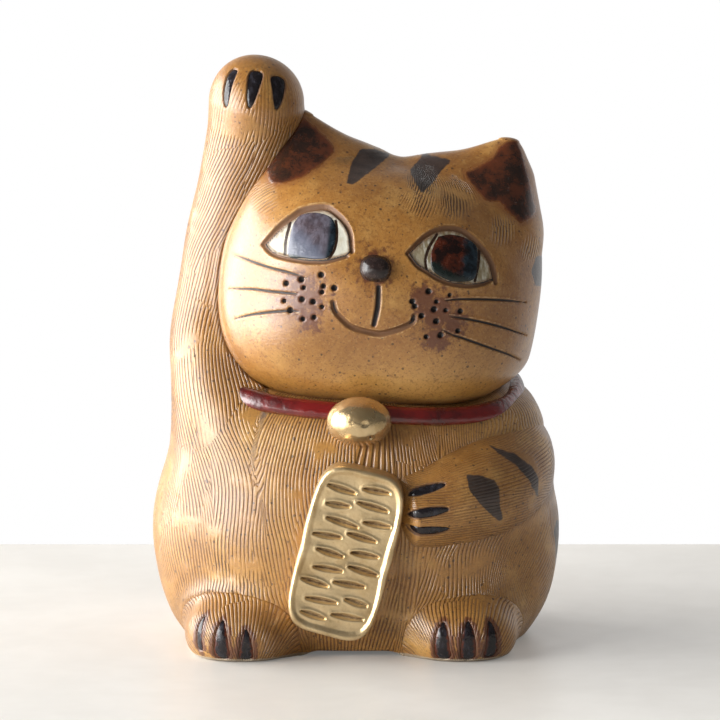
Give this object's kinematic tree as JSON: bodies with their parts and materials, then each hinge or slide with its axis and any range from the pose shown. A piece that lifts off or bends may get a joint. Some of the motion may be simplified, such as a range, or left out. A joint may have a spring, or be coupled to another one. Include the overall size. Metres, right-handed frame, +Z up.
{
  "type": "lucky cat figurine",
  "caption": "Hollow stoneware lucky cat that stands on a flat foot ring, raised right paw, collar with bell, oblong coin in the lowered left paw.",
  "frame": {"origin": "on the surface it stands on, under the middle of its width and depth", "axes": "+Z up; the cat faces -Y; its raised right paw is on -X"},
  "size_m": [0.1184, 0.0978, 0.17],
  "materials": {
    "clay": "satin",
    "white_glaze": "gloss",
    "iris_glaze": "gloss",
    "claw_glaze": "gloss",
    "nose_glaze": "gloss",
    "collar_glaze": "gloss",
    "gilt": "satin"
  },
  "bodies": {
    "root": {"torso_shell": "clay", "head_shell": "clay", "right_ear": "clay", "left_ear": "clay", "raised_arm": "clay", "coin_arm": "clay", "right_foot": "clay", "left_foot": "clay", "tail": "clay", "collar_band": "collar_glaze", "bell": "gilt", "oblong_coin": "gilt", "nose_button": "nose_glaze", "right_eye_white": "white_glaze", "left_eye_white": "white_glaze", "right_iris": "iris_glaze", "left_iris": "iris_glaze", "raised_paw_claw_1": "claw_glaze", "raised_paw_claw_2": "claw_glaze", "raised_paw_claw_3": "claw_glaze", "coin_paw_claw_1": "claw_glaze", "coin_paw_claw_2": "claw_glaze", "coin_paw_claw_3": "claw_glaze", "right_foot_claw_1": "claw_glaze", "right_foot_claw_2": "claw_glaze", "right_foot_claw_3": "claw_glaze", "left_foot_claw_1": "claw_glaze", "left_foot_claw_2": "claw_glaze", "left_foot_claw_3": "claw_glaze"}
  },
  "joints": []
}
